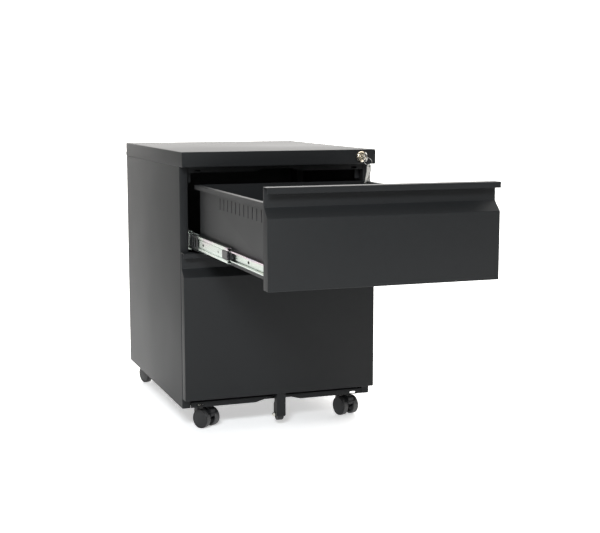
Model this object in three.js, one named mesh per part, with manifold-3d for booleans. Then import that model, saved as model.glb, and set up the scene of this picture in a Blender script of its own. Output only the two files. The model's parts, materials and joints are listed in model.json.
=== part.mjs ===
// Rolling two-drawer pedestal cabinet: a folded-steel case on four twin-wheel castors, a shallow
// upper drawer shown fully drawn out, and a deep lower drawer with an anti-tip wheel.
// Millimetres, +Z up. The origin is on the floor under the middle of the case's front plane:
// +Y runs to the back of the case, +X to its right-hand side, and the drawers open towards -Y.

import * as THREE from 'three';
import { mergeVertices } from 'three/addons/utils/BufferGeometryUtils.js';
import Module from 'manifold-3d';

const wasm = await Module();
wasm.setup();

// ---- Driving dimensions ---------------------------------------------------------------------

const WIDTH = 390;
const DEPTH = 500;
const HEIGHT = 540;
const SHEET = 1;              // folded steel sheet
const GAP = 0.3;              // between separate pieces that meet
const CUT = 1;                // how far a cutting tool runs past the sheet it cuts
const UPPER_DRAWN = 500;      // how far the upper drawer stands open

const TOP_DEEP = 28.5;        // height of the top's skirt
const TOP_RETURN = 14;        // flange folded in under the skirt
const TOP_UNDER = HEIGHT - TOP_DEEP;

const BODY_HALF = 194;        // outer face of a side panel from the middle
const BODY_BOTTOM = 47;
const BODY_TOP = TOP_UNDER - GAP;
const STILE_FRONT = 24;       // set back of the front stiles behind the drawer fronts
const STILE_INNER = 178;      // half the width of the drawer opening
const STILE_DEEP = 16;
const FLANGE = 14;

const RAIL_HIGH = 11;
const RAIL_NOTCH_WIDE = 92;
const RAIL_NOTCH_NARROW = 56;
const RAIL_NOTCH_DEEP = 5;

const UPPER_BOTTOM = 353;     // lower edge of the upper drawer front
const UPPER_TOP = 509;
const LOWER_BOTTOM = 66.5;
const LOWER_TOP = 350.5;
const FRONT_HALF = 193.8;
const FRONT_DEEP = 20;        // depth of the hollow front pan
const LIP_HALF = 194.3;
const LIP_HIGH = 9.5;
const PULL_DEEP = 17;         // finger pull behind the lip
const PULL_SLOPE_TOP = 30.5;  // measured down from the top of the lip
const PULL_SLOPE_BOTTOM = 46.3;

const BOX_HALF = 164.3;       // outer face of a drawer's side wall
const BOX_REAR = 487;
const RIM_OUT = 8.7;          // rim folded outward along the drawer's upper edge
const RIM_DOWN = 8;
const RIM_BELOW_TOP = 29.5;

const SLIDE_LONG = 450;
const SLIDE_FRONT = 26;
const SLIDE_ABOVE_BOTTOM = 20;
const SLIDE_SHEET = 1.2;
const MIDDLE_RATIO = 0.5;     // the middle member travels half as far as its drawer

const SLOT_COUNT = 11;        // divider slots in each upper drawer side
const SLOT_PITCH = 23.35;
const SLOT_FIRST = 120.5;
const SLOT_WIDE = 3;
const SLOT_HIGH = 20.5;
const SLOT_BELOW_TOP = 43.5;

const CASTOR_X = 149;
const CASTOR_FRONT_Y = 67;
const CASTOR_REAR_Y = 450;
const CASTOR_TRAIL = 18;
const WHEEL_R = 19;
const WHEEL_INNER = 7;        // wheel faces measured from the castor's middle
const WHEEL_OUTER = 19.5;

const LOCK_X = 163.5;
const LOCK_Z = HEIGHT - TOP_DEEP / 2;
const CAM_REACH = 10;
const BAR_TRAVEL = Math.SQRT2 * CAM_REACH;
const KEY_BOW_R = 9;
const KEY_HOLE_R = 5;
const KEY_THICK = 2;
const KEY_BOW_Y = -22;
const RING_R = 8.3;
const RING_WIRE = 0.65;

const ANTI_TIP_R = 12;
const ANTI_TIP_Y = 17.5;
const ANTI_TIP_Z = 21.5;

const ROUND = 28;             // facets of a wheel, so that one corner points straight down
const SMALL_ROUND = 16;

// ---- Materials ------------------------------------------------------------------------------

const material = (color, roughness, metalness) =>
  new THREE.MeshStandardMaterial({ color, roughness, metalness });

const POWDER_COAT = material(0x2d3033, 0.5, 0.1);
const ZINC = material(0xb9bcc0, 0.3, 0.95);
const NICKEL = material(0xc9c4b4, 0.22, 1);
const KEY_STEEL = material(0xc8c8c6, 0.3, 1);
const BLACK_NYLON = material(0x17181a, 0.45, 0);
const BLACK_TYRE = material(0x26272a, 0.6, 0);

// ---- Solids ---------------------------------------------------------------------------------

function solid(geometry) {
  const bare = geometry.clone();
  bare.deleteAttribute('normal');
  bare.deleteAttribute('uv');
  const merged = mergeVertices(bare, 1e-4);
  // Faces that share a plane get exactly the same coordinate, to the nearest micrometre.
  const snapped = merged.attributes.position.array.map((value) => Math.round(value * 1000) / 1000);
  const mesh = new wasm.Mesh({
    numProp: 3,
    vertProperties: new Float32Array(snapped),
    triVerts: new Uint32Array(merged.index.array),
  });
  return new wasm.Manifold(mesh);
}

function geometryOf(body) {
  const mesh = body.getMesh();
  const geometry = new THREE.BufferGeometry();
  geometry.setAttribute('position', new THREE.BufferAttribute(mesh.vertProperties, 3));
  geometry.setIndex(new THREE.BufferAttribute(mesh.triVerts, 1));
  geometry.computeVertexNormals();
  return geometry;
}

const join = (bodies) => bodies.reduce((whole, next) => whole.add(next));
const cut = (body, tools) => tools.reduce((whole, tool) => whole.subtract(tool), body);

// A block between two values on each axis, given in either order.
function block([x0, x1], [y0, y1], [z0, z1]) {
  const geometry = new THREE.BoxGeometry(Math.abs(x1 - x0), Math.abs(y1 - y0), Math.abs(z1 - z0));
  geometry.translate((x0 + x1) / 2, (y0 + y1) / 2, (z0 + z1) / 2);
  return solid(geometry);
}

// A block on one side of the cabinet: distances out from the middle, and side is -1 or 1.
const sideBlock = (side, [out0, out1], ys, zs) => block([side * out0, side * out1], ys, zs);

// A straight prism. Along 'x' the outline's points are (y, z), and along 'y' they are (x, z).
function prism(axis, outline, from, to) {
  const shape = outline instanceof THREE.Shape
    ? outline
    : new THREE.Shape(outline.map(([u, v]) => new THREE.Vector2(u, v)));
  const options = { depth: to - from, bevelEnabled: false, curveSegments: 10 };
  const geometry = new THREE.ExtrudeGeometry(shape, options);
  const [x, y, z] = [0, 1, 2].map((i) => new THREE.Vector3().setComponent(i, 1));
  const place = new THREE.Matrix4();
  if (axis === 'x') place.makeBasis(y, z, x).setPosition(from, 0, 0);
  if (axis === 'y') place.makeBasis(x, z, y.negate()).setPosition(0, to, 0);
  return solid(geometry.applyMatrix4(place));
}

// A turned piece: profile points are (radius, distance along the axis).
function turned(axis, profile, centre, segments = SMALL_ROUND) {
  const points = profile.map(([r, along]) => new THREE.Vector2(r, along));
  const geometry = new THREE.LatheGeometry(points, segments);
  if (axis === 'x') geometry.rotateZ(-Math.PI / 2);
  if (axis === 'z') geometry.rotateX(Math.PI / 2);
  return solid(geometry.translate(...centre));
}

function rod(axis, radius, from, to, centre, segments = SMALL_ROUND) {
  return turned(axis, [[0, from], [radius, from], [radius, to], [0, to]], centre, segments);
}

// ---- Assembly -------------------------------------------------------------------------------

const cabinet = new THREE.Group();

function piece(parent, name, body, finish) {
  const mesh = new THREE.Mesh(geometryOf(body), finish);
  mesh.name = name;
  parent.add(mesh);
  return mesh;
}

const SIDES = [['left', -1], ['right', 1]];

// ---- Case -----------------------------------------------------------------------------------

// Heights of the lock bar's fingers, and of the drawer tabs that they stand in front of when locked.
const FINGERS = { upper: 425, lower: 265 };
const FINGER_HIGH = 8;
const TAB_HIGH = 12;
const BAR_Y = [29.6, 30.6];
const BAR_X = [183, 189];

function topPanel() {
  const half = WIDTH / 2;
  const outside = block([-half, half], [0, DEPTH], [TOP_UNDER, HEIGHT]);
  const inside = block(
    [SHEET - half, half - SHEET], [SHEET, DEPTH - SHEET], [TOP_UNDER + SHEET, HEIGHT - SHEET]);
  const open = half - TOP_RETURN;
  const mouthZ = [TOP_UNDER - CUT, TOP_UNDER + SHEET + CUT];
  const mouth = block([-open, open], [TOP_RETURN, DEPTH - TOP_RETURN], mouthZ);
  const barWay = block([open - CUT, half - SHEET], [TOP_RETURN, 3 * FLANGE], mouthZ);
  const lockHole = rod('y', 8 + GAP, -CUT, SHEET + CUT, [LOCK_X, 0, LOCK_Z]);
  return cut(outside, [inside, mouth, barWay, lockHole]);
}

function sidePanel(side) {
  const inner = BODY_HALF - SHEET;
  const flange = [BODY_HALF - FLANGE, BODY_HALF];
  const back = [DEPTH - SHEET, DEPTH];
  const tall = [BODY_BOTTOM, BODY_TOP];
  const stile = [STILE_INNER, BODY_HALF];
  const folded = [
    sideBlock(side, [inner, BODY_HALF], [STILE_FRONT, DEPTH], tall),
    sideBlock(side, stile, [STILE_FRONT, STILE_FRONT + SHEET], tall),
    sideBlock(side, [STILE_INNER, STILE_INNER + SHEET], [STILE_FRONT, STILE_FRONT + STILE_DEEP], tall),
    sideBlock(side, flange, back, tall),
    sideBlock(side, flange, [STILE_FRONT + SHEET / 2, DEPTH], [BODY_BOTTOM, BODY_BOTTOM + SHEET]),
    sideBlock(side, flange, [3 * FLANGE + GAP, DEPTH], [BODY_TOP - SHEET, BODY_TOP]),
  ];
  const fingerWays = Object.values(FINGERS).map((z) => sideBlock(
    side, [STILE_INNER - CUT, STILE_INNER + SHEET + CUT],
    [BAR_Y[0] - 1, BAR_Y[1] + 1], [z - 1, z + FINGER_HIGH + BAR_TRAVEL + 1]));
  return side > 0 ? cut(join(folded), fingerWays) : join(folded);
}

function backPanel() {
  const half = BODY_HALF - SHEET - GAP;
  const y = DEPTH - SHEET - GAP;
  return block([-half, half], [y - SHEET, y], [BODY_BOTTOM + 2 * SHEET + 2 * GAP, BODY_TOP - SHEET - GAP]);
}

const BASE_Z = BODY_BOTTOM + SHEET + GAP;
const BASE_FRONT = STILE_FRONT + STILE_DEEP + GAP;
const BASE_EDGE = 11;         // upturned edges that stiffen the base

function basePanel() {
  const half = BODY_HALF - SHEET - GAP;
  const rear = DEPTH - 2 * SHEET - 2 * GAP;
  const rise = [BASE_Z, BASE_Z + BASE_EDGE];
  const folded = [
    block([-half, half], [BASE_FRONT, rear], [BASE_Z, BASE_Z + SHEET]),
    block([-half, half], [rear - SHEET, rear], rise),
    ...SIDES.map(([, side]) => sideBlock(side, [half - SHEET, half], [BASE_FRONT, rear], rise)),
  ];
  const stemHoles = CASTORS.map(({ x, y }) =>
    rod('z', 5 + GAP, BASE_Z - CUT, BASE_Z + SHEET + CUT, [x, y, 0]));
  return cut(join(folded), stemHoles);
}

// A strip across the front with a notch in its lower edge and a slot near each end.
function frontRail(half, y, bottom) {
  const top = bottom + RAIL_HIGH;
  const strip = join([
    block([-half, half], [y, y + SHEET], [bottom, top]),
    block([-half, half], [y, y + 12], [top - SHEET, top]),
  ]);
  const wide = RAIL_NOTCH_WIDE / 2;
  const narrow = RAIL_NOTCH_NARROW / 2;
  const notch = prism('y', [
    [-wide, bottom - CUT], [wide, bottom - CUT], [wide, bottom],
    [narrow, bottom + RAIL_NOTCH_DEEP], [-narrow, bottom + RAIL_NOTCH_DEEP], [-wide, bottom],
  ], y - CUT, y + SHEET + CUT);
  const slots = SIDES.map(([, side]) => sideBlock(
    side, [half - 25, half - 13], [y - CUT, y + SHEET + CUT], [bottom + 1.6, bottom + 5.6]));
  return cut(strip, [notch, ...slots]);
}

function rearUpright(side) {
  const web = [STILE_INNER, STILE_INNER + SHEET];
  const tall = [BASE_Z + SHEET + GAP, BODY_TOP - SHEET - GAP];
  const [front, rear] = [405, 435];
  const reach = [STILE_INNER, BODY_HALF - 2 * SHEET - 2 * GAP];
  return join([
    sideBlock(side, web, [front, rear], tall),
    sideBlock(side, reach, [front, front + SHEET], tall),
    sideBlock(side, reach, [rear - SHEET, rear], tall),
  ]);
}

// ---- Ball-bearing slides --------------------------------------------------------------------

// Each member is a channel: its web between two distances from the middle, and the distance that
// its flanges reach, with half its height. The outer one is fixed to the case, the inner one to
// the drawer, and the middle one runs between them.
const SLIDE_MEMBERS = {
  outer: { web: [STILE_INNER - GAP - SLIDE_SHEET, STILE_INNER - GAP], reach: 168.4, half: 17.8 },
  middle: { web: [173.7, 173.7 + SLIDE_SHEET], reach: 167, half: 13.4 },
  inner: { web: [BOX_HALF + GAP, BOX_HALF + GAP + SLIDE_SHEET], reach: 171.5, half: 9.4 },
};

function slideMember(side, kind, middleZ) {
  const { web, reach, half } = SLIDE_MEMBERS[kind];
  const far = kind === 'inner' ? web[0] : web[1];
  const ys = [SLIDE_FRONT, SLIDE_FRONT + SLIDE_LONG];
  return join([
    sideBlock(side, web, ys, [middleZ - half, middleZ + half]),
    sideBlock(side, [far, reach], ys, [middleZ + half - SLIDE_SHEET, middleZ + half]),
    sideBlock(side, [far, reach], ys, [middleZ - half, middleZ - half + SLIDE_SHEET]),
  ]);
}

// ---- Drawers --------------------------------------------------------------------------------

function drawerFront(bottom, top) {
  const across = [-FRONT_HALF, FRONT_HALF];
  const lipAcross = [-LIP_HALF, LIP_HALF];
  const slopeTop = top - PULL_SLOPE_TOP;
  const slopeBottom = top - PULL_SLOPE_BOTTOM;
  const slope = prism('x', [
    [0, slopeBottom], [PULL_DEEP, slopeTop], [PULL_DEEP + SHEET, slopeTop],
    [PULL_DEEP + SHEET, slopeTop - SHEET], [SHEET, slopeBottom - SHEET], [0, slopeBottom - SHEET],
  ], ...across);
  const inset = SHEET / 2;      // the end plates meet the folded sheet inside its thickness
  const endOutline = [
    [inset, bottom + inset], [FRONT_DEEP, bottom + inset], [FRONT_DEEP, top - inset],
    [PULL_DEEP + inset, top - inset], [PULL_DEEP + inset, slopeTop - inset],
    [inset, slopeBottom - inset],
  ];
  return join([
    block(across, [0, SHEET], [bottom, slopeBottom]),
    block(across, [0, FRONT_DEEP], [bottom, bottom + SHEET]),
    slope,
    block(across, [PULL_DEEP, PULL_DEEP + SHEET], [slopeTop - SHEET, top]),
    block(lipAcross, [0, FRONT_DEEP], [top - SHEET, top]),
    block(lipAcross, [0, SHEET], [top - LIP_HIGH, top]),
    prism('x', endOutline, -FRONT_HALF, SHEET - FRONT_HALF),
    prism('x', endOutline, FRONT_HALF - SHEET, FRONT_HALF),
  ]);
}

const INNER_FRONT_Y = FRONT_DEEP + GAP;
const WALL_FRONT = INNER_FRONT_Y + SHEET + GAP;

const innerFront = (bottom, top) =>
  block([-FRONT_HALF, FRONT_HALF], [INNER_FRONT_Y, INNER_FRONT_Y + SHEET], [bottom, top]);

function drawerSide(side, bottom, top, slotted, fingerZ) {
  const rim = top - RIM_BELOW_TOP;
  const foot = bottom + 2;
  const ys = [WALL_FRONT, BOX_REAR - GAP];
  const rimOut = BOX_HALF + RIM_OUT;
  const parts = [
    sideBlock(side, [BOX_HALF - SHEET, BOX_HALF], ys, [foot, rim]),
    sideBlock(side, [BOX_HALF - SHEET, rimOut], ys, [rim - SHEET, rim]),
    sideBlock(side, [rimOut - SHEET, rimOut], ys, [rim - RIM_DOWN, rim]),
    sideBlock(side, [BOX_HALF - 10, BOX_HALF], ys, [foot, foot + SHEET]),
  ];
  if (side > 0) {
    const tabZ = fingerZ + FINGER_HIGH + 4;
    const tabY = [BAR_Y[1] + 2.4, BAR_Y[1] + 5.4];
    parts.push(sideBlock(side, [BOX_HALF - SHEET, 172], tabY, [tabZ, tabZ + TAB_HIGH]));
  }
  if (!slotted) return join(parts);
  const slotTop = top - SLOT_BELOW_TOP;
  const slots = Array.from({ length: SLOT_COUNT }, (_, i) => {
    const y = SLOT_FIRST + i * SLOT_PITCH;
    return sideBlock(side, [BOX_HALF - SHEET - CUT, BOX_HALF + CUT],
      [y - SLOT_WIDE / 2, y + SLOT_WIDE / 2], [slotTop - SLOT_HIGH, slotTop]);
  });
  return cut(join(parts), slots);
}

function drawerBottom(bottom) {
  const half = BOX_HALF - SHEET - GAP;
  const z = bottom + 2 + SHEET + GAP;
  return block([-half, half], [WALL_FRONT, BOX_REAR - GAP], [z, z + SHEET]);
}

function drawerBack(bottom, top) {
  const rim = top - RIM_BELOW_TOP;
  const rimHalf = BOX_HALF + RIM_OUT;
  const fold = [BOX_REAR, BOX_REAR + 7];
  return join([
    block([-BOX_HALF, BOX_HALF], [BOX_REAR, BOX_REAR + SHEET], [bottom + 2, rim]),
    block([-rimHalf, rimHalf], fold, [rim - SHEET, rim]),
    block([-rimHalf, rimHalf], [fold[1] - SHEET, fold[1]], [rim - RIM_DOWN, rim]),
    ...SIDES.map(([, side]) =>
      sideBlock(side, [rimHalf - SHEET, rimHalf], fold, [rim - RIM_DOWN, rim])),
  ]);
}

// ---- Anti-tip wheel under the lower drawer --------------------------------------------------

function antiTipBracket() {
  const half = 9;
  const wall = 1.2;
  const top = LOWER_BOTTOM - GAP;
  const [front, rear, foot, waist] = [4, 20, 21, 43];
  const cheek = [
    [front, top], [rear, top], [rear, waist + 4], [25, waist], [25, foot + 3], [21, foot - 3],
    [10, foot - 3], [front, foot],
  ];
  const pinHole = rod('x', 2.4 + GAP, -20, 20, [0, ANTI_TIP_Y, ANTI_TIP_Z]);
  const folded = join([
    block([-half, half], [front, rear], [top - wall, top]),
    block([-half, half], [front, front + wall], [foot, top]),
    prism('x', cheek, -half, wall - half),
    prism('x', cheek, half - wall, half),
  ]);
  return cut(folded, [pinHole]);
}

function antiTipAxle() {
  const [shank, head, faceIn, faceOut] = [2.4, 4, 9.3, 13];
  const profile = [
    [0, -faceOut], [head, -faceOut], [head, -faceIn], [shank, -faceIn],
    [shank, faceIn], [head, faceIn], [head, faceOut - 0.6], [0, faceOut - 0.6],
  ];
  return turned('x', profile, [0, ANTI_TIP_Y, ANTI_TIP_Z], 12);
}

function antiTipWheel() {
  const [bore, half, shoulder] = [2.4 + GAP, 6.5, 1.5];
  const profile = [
    [bore, -half], [ANTI_TIP_R - shoulder, -half], [ANTI_TIP_R, shoulder - half],
    [ANTI_TIP_R, half - shoulder], [ANTI_TIP_R - shoulder, half], [bore, half], [bore, -half],
  ];
  return turned('x', profile, [0, ANTI_TIP_Y, ANTI_TIP_Z], ROUND);
}

// ---- Castors --------------------------------------------------------------------------------

// Local axes of a castor: the stem stands on the origin, the axle runs along X, and the wheels
// trail towards -Y. Each castor has come to rest at a swivel angle of its own.
const CASTORS = [
  { name: 'front_left', x: -CASTOR_X, y: CASTOR_FRONT_Y, turn: 32 },
  { name: 'front_right', x: CASTOR_X, y: CASTOR_FRONT_Y, turn: 16 },
  { name: 'rear_left', x: -CASTOR_X, y: CASTOR_REAR_Y, turn: 200 },
  { name: 'rear_right', x: CASTOR_X, y: CASTOR_REAR_Y, turn: 160 },
];
const STEM_R = 3.5;
const HOOD_TOP = 40.6;

// The stem turns in the hood, and a flange and a nut clamp it to the base panel between them.
function castorStem() {
  const [thread, flange, flangeFoot, nutTop, tip] = [5, 7, 44.6, 55, 58];
  const profile = [
    [0, 26], [STEM_R, 26], [STEM_R, flangeFoot], [flange, flangeFoot], [flange, BASE_Z - GAP],
    [thread, BASE_Z - GAP], [thread, BASE_Z + SHEET + GAP], [flange, BASE_Z + SHEET + GAP],
    [flange, nutTop], [thread, nutTop], [thread, tip], [0, tip],
  ];
  return turned('z', profile, [0, 0, 0]);
}

function castorHood() {
  const webHalf = WHEEL_INNER - 2 * GAP;
  const axle = [-CASTOR_TRAIL, WHEEL_R];
  const web = new THREE.Shape();
  web.moveTo(8, HOOD_TOP);
  web.lineTo(8, 25);
  web.lineTo(axle[0] + 7, axle[1] - 4);
  web.absarc(...axle, 8, -Math.PI / 6, -Math.PI, true);
  web.lineTo(-36, 24);
  web.lineTo(-36, 35);
  web.lineTo(-31, HOOD_TOP);
  web.closePath();
  const [fenderIn, fenderOut] = [WHEEL_R + 0.6, WHEEL_R + 2.1];
  const fender = new THREE.Shape();
  const [from, to] = [0.47 * Math.PI, 0.84 * Math.PI];
  fender.absarc(...axle, fenderOut, from, to, false);
  fender.absarc(...axle, fenderIn, to, from, true);
  fender.closePath();
  const socket = rod('z', 8, 25, HOOD_TOP, [0, 0, 0]);
  const behindStem = block([-9, 9], [0, 9], [24, HOOD_TOP + 1]);
  const bore = rod('z', STEM_R + GAP, 25.6, HOOD_TOP + CUT, [0, 0, 0]);
  const hubPin = rod('x', 3, -16, 16, [0, ...axle]);
  const body = join([
    prism('x', web, -webHalf, webHalf),
    prism('x', fender, -12.5, 12.5),
    socket.intersect(behindStem),
    hubPin,
  ]);
  return cut(body, [bore]);
}

function castorWheel(side) {
  const hub = 3 + GAP;
  const profile = [
    [0, 16.4], [hub, 16.4], [hub, WHEEL_INNER], [6, WHEEL_INNER], [6, 11], [15.5, 11],
    [15.5, WHEEL_INNER], [18.2, WHEEL_INNER], [WHEEL_R, 7.8], [WHEEL_R, 18.2], [18, 19.2],
    [14, WHEEL_OUTER], [0, WHEEL_OUTER],
  ];
  const placed = side > 0 ? profile : profile.map(([r, s]) => [r, -s]).reverse();
  return turned('x', placed, [0, -CASTOR_TRAIL, WHEEL_R], ROUND);
}

// ---- Lock -----------------------------------------------------------------------------------

function lockBarrel() {
  const bore = 6 + GAP;
  const profile = [
    [bore, -6.5], [8.6, -6.2], [10.6, -3], [10.6, -GAP], [8, -GAP], [8, 24], [bore, 24], [bore, -6.5],
  ];
  return turned('y', profile, [LOCK_X, 0, LOCK_Z], ROUND);
}

function lockCore() {
  const profile = [[0, -6.2], [5.4, -6.2], [6, -5.6], [6, 25.7], [3, 25.7], [3, 29.2], [0, 29.2]];
  const keyway = block([LOCK_X - 1.4, LOCK_X + 1.4], [-8, 19], [LOCK_Z - 4.1, LOCK_Z + 4.1]);
  return cut(turned('y', profile, [LOCK_X, 0, LOCK_Z]), [keyway]);
}

function lockCam() {
  const reach = CAM_REACH / Math.SQRT2;
  const [pinX, pinZ] = [LOCK_X - reach, LOCK_Z - reach];
  const plate = [26, 29];
  const half = 2;             // half the arm's width, along X and along Z
  const outline = [
    [LOCK_X - half, LOCK_Z + half], [pinX - half, pinZ + half],
    [pinX + half, pinZ - half], [LOCK_X + half, LOCK_Z - half],
  ];
  const body = join([
    rod('y', 8, ...plate, [LOCK_X, 0, LOCK_Z]),
    prism('y', outline, ...plate),
    rod('y', 3.25, ...plate, [pinX, 0, pinZ]),
    rod('y', 1.5, 28, 31.4, [pinX, 0, pinZ]),
  ]);
  return cut(body, [rod('y', 3 + GAP, 25, 30, [LOCK_X, 0, LOCK_Z])]);
}

function lockBar() {
  const arm = [LOCK_Z - CAM_REACH / Math.SQRT2 - 5, LOCK_Z - CAM_REACH / Math.SQRT2 + 5];
  const slotZ = (arm[0] + arm[1]) / 2;
  const pinX = [LOCK_X - CAM_REACH, LOCK_X - CAM_REACH / Math.SQRT2];
  const body = join([
    block(BAR_X, BAR_Y, [60, arm[1]]),
    block([pinX[0] - 5, BAR_X[1]], BAR_Y, arm),
    ...Object.values(FINGERS).map((z) => block([166.5, BAR_X[1]], BAR_Y, [z, z + FINGER_HIGH])),
  ]);
  const slot = block([pinX[0] - 2.3, pinX[1] + 2.3], [BAR_Y[0] - CUT, BAR_Y[1] + CUT],
    [slotZ - 2.1, slotZ + 2.1]);
  return cut(body, [slot]);
}

// A flat key: a round bow on the origin and a notched blade that runs towards +X of its shape.
function keySolid(thick) {
  const [neck, shoulder, tip, half] = [8, 14.4, 36, 3.7];
  const shape = new THREE.Shape();
  shape.moveTo(neck, 4.1);
  shape.lineTo(shoulder, 4.6);
  shape.lineTo(shoulder, half);
  shape.lineTo(tip - 2.5, half);
  shape.lineTo(tip, 0.5);
  shape.lineTo(tip - 1.5, -half + 0.6);
  for (let u = tip - 4; u > shoulder + 4; u -= 4) {
    shape.lineTo(u, -half);
    shape.lineTo(u - 2, -half + 1.6);
  }
  shape.lineTo(shoulder, -half);
  shape.lineTo(shoulder, -4.6);
  shape.lineTo(neck, -4.1);
  shape.absarc(0, 0, KEY_BOW_R, -0.48, 0.48, true);
  shape.closePath();
  const hole = new THREE.Path();
  hole.absarc(0, 0, KEY_HOLE_R, 0, 2 * Math.PI, false);
  shape.holes.push(hole);
  const geometry = new THREE.ExtrudeGeometry(
    shape, { depth: thick, bevelEnabled: false, curveSegments: 12 });
  return geometry.translate(0, 0, -thick / 2);
}

// ---- Build: case ----------------------------------------------------------------------------

piece(cabinet, 'top_panel', topPanel(), POWDER_COAT);
for (const [word, side] of SIDES) {
  piece(cabinet, `side_panel_${word}`, sidePanel(side), POWDER_COAT);
  piece(cabinet, `rear_upright_${word}`, rearUpright(side), POWDER_COAT);
}
piece(cabinet, 'back_panel', backPanel(), POWDER_COAT);
piece(cabinet, 'base_panel', basePanel(), POWDER_COAT);
piece(cabinet, 'front_top_rail',
  frontRail(STILE_INNER - GAP, STILE_FRONT, BODY_TOP - RAIL_HIGH), POWDER_COAT);
piece(cabinet, 'front_bottom_rail',
  frontRail(STILE_INNER - GAP, STILE_FRONT, BODY_BOTTOM), POWDER_COAT);

// ---- Build: drawers and their slides --------------------------------------------------------

const DRAWERS = [
  { name: 'upper', bottom: UPPER_BOTTOM, top: UPPER_TOP, drawn: UPPER_DRAWN, slotted: true },
  { name: 'lower', bottom: LOWER_BOTTOM, top: LOWER_TOP, drawn: 0, slotted: false },
];

for (const { name, bottom, top, drawn, slotted } of DRAWERS) {
  const drawer = new THREE.Group();
  drawer.position.y = -drawn;
  const middles = new THREE.Group();
  middles.position.y = -drawn * MIDDLE_RATIO;
  cabinet.add(drawer, middles);

  piece(drawer, `${name}_drawer_front`, drawerFront(bottom, top), POWDER_COAT);
  piece(drawer, `${name}_drawer_inner_front`, innerFront(bottom, top), POWDER_COAT);
  piece(drawer, `${name}_drawer_bottom`, drawerBottom(bottom), POWDER_COAT);
  piece(drawer, `${name}_drawer_back`, drawerBack(bottom, top), POWDER_COAT);

  const slideZ = bottom + SLIDE_ABOVE_BOTTOM;
  for (const [word, side] of SIDES) {
    const wall = drawerSide(side, bottom, top, slotted, FINGERS[name]);
    piece(drawer, `${name}_drawer_side_${word}`, wall, POWDER_COAT);
    piece(drawer, `${name}_slide_inner_${word}`, slideMember(side, 'inner', slideZ), ZINC);
    piece(middles, `${name}_slide_middle_${word}`, slideMember(side, 'middle', slideZ), ZINC);
    piece(cabinet, `${name}_slide_outer_${word}`, slideMember(side, 'outer', slideZ), ZINC);
  }
}

piece(cabinet, 'anti_tip_bracket', antiTipBracket(), POWDER_COAT);
piece(cabinet, 'anti_tip_axle', antiTipAxle(), ZINC);
piece(cabinet, 'anti_tip_wheel', antiTipWheel(), BLACK_NYLON);

// ---- Build: castors -------------------------------------------------------------------------

for (const { name, x, y, turn } of CASTORS) {
  const castor = new THREE.Group();
  castor.position.set(x, y, 0);
  castor.rotation.z = THREE.MathUtils.degToRad(turn);
  cabinet.add(castor);
  piece(castor, `castor_stem_${name}`, castorStem(), ZINC);
  piece(castor, `castor_hood_${name}`, castorHood(), BLACK_NYLON);
  for (const [word, side] of SIDES) {
    piece(castor, `castor_wheel_${name}_${word}`, castorWheel(side), BLACK_TYRE);
  }
}

// ---- Build: lock, key and key ring ----------------------------------------------------------

piece(cabinet, 'lock_barrel', lockBarrel(), NICKEL);
piece(cabinet, 'lock_core', lockCore(), NICKEL);
piece(cabinet, 'lock_cam', lockCam(), ZINC);
piece(cabinet, 'lock_bar', lockBar(), ZINC);

// The inserted key stands edge-on to the front, its blade pointing into the lock.
const insertedKey = piece(cabinet, 'key', solid(keySolid(KEY_THICK)), KEY_STEEL);
insertedKey.quaternion.setFromRotationMatrix(new THREE.Matrix4().makeBasis(
  new THREE.Vector3(0, 1, 0), new THREE.Vector3(0, 0, 1), new THREE.Vector3(1, 0, 0)));
insertedKey.position.set(LOCK_X, KEY_BOW_Y, LOCK_Z);

// The ring hangs through the bow, a little to the right of it and leaning back at the top.
const RING_LEAN = THREE.MathUtils.degToRad(32);
const ring = piece(cabinet, 'key_ring',
  solid(new THREE.TorusGeometry(RING_R, RING_WIRE, 8, ROUND)), KEY_STEEL);
ring.rotation.x = Math.PI / 2 - RING_LEAN;
ring.position.set(LOCK_X + 5, KEY_BOW_Y - 2, LOCK_Z - 8.15);

export default cabinet;
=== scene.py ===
"""The looks of a rolling two-drawer pedestal cabinet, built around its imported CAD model.

Lengths in the shape code are millimetres, as the sheet-metal sizes are, and become metres when a
mesh is made. Places come from the CAD nodes' boxes. Sheet metal is made as it is made in a press
brake: one path of flats and bends, swept along the fold.
"""

import json
import math

import bmesh
import bpy
from mathutils import Matrix, Vector


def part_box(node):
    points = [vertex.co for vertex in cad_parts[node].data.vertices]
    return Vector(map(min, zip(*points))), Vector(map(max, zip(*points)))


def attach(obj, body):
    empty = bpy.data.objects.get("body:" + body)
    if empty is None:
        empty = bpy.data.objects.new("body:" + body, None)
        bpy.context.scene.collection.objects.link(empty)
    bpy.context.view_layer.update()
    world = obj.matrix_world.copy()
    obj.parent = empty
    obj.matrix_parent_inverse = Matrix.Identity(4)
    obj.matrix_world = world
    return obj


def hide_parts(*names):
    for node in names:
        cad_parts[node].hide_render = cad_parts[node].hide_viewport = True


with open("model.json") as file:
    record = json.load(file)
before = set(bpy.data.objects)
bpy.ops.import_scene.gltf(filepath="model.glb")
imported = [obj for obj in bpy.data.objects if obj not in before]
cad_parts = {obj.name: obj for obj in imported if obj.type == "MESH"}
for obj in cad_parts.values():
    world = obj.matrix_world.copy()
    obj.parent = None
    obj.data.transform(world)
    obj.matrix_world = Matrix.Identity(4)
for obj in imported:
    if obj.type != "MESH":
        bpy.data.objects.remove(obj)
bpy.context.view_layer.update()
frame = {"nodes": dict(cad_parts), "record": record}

MM = 0.001
SHEET = 1.0           # thickness of the case's and drawers' steel
BEND = 1.1            # radius of a fold, to the middle of the sheet
SIDES = {"left": -1, "right": 1}
DRAWERS = ("upper", "lower")


def low(node):
    """Lowest corner of a CAD node, in millimetres."""
    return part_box(node)[0] / MM


def high(node):
    """Highest corner of a CAD node, in millimetres."""
    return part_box(node)[1] / MM


# ---- Materials ------------------------------------------------------------------------------


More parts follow.
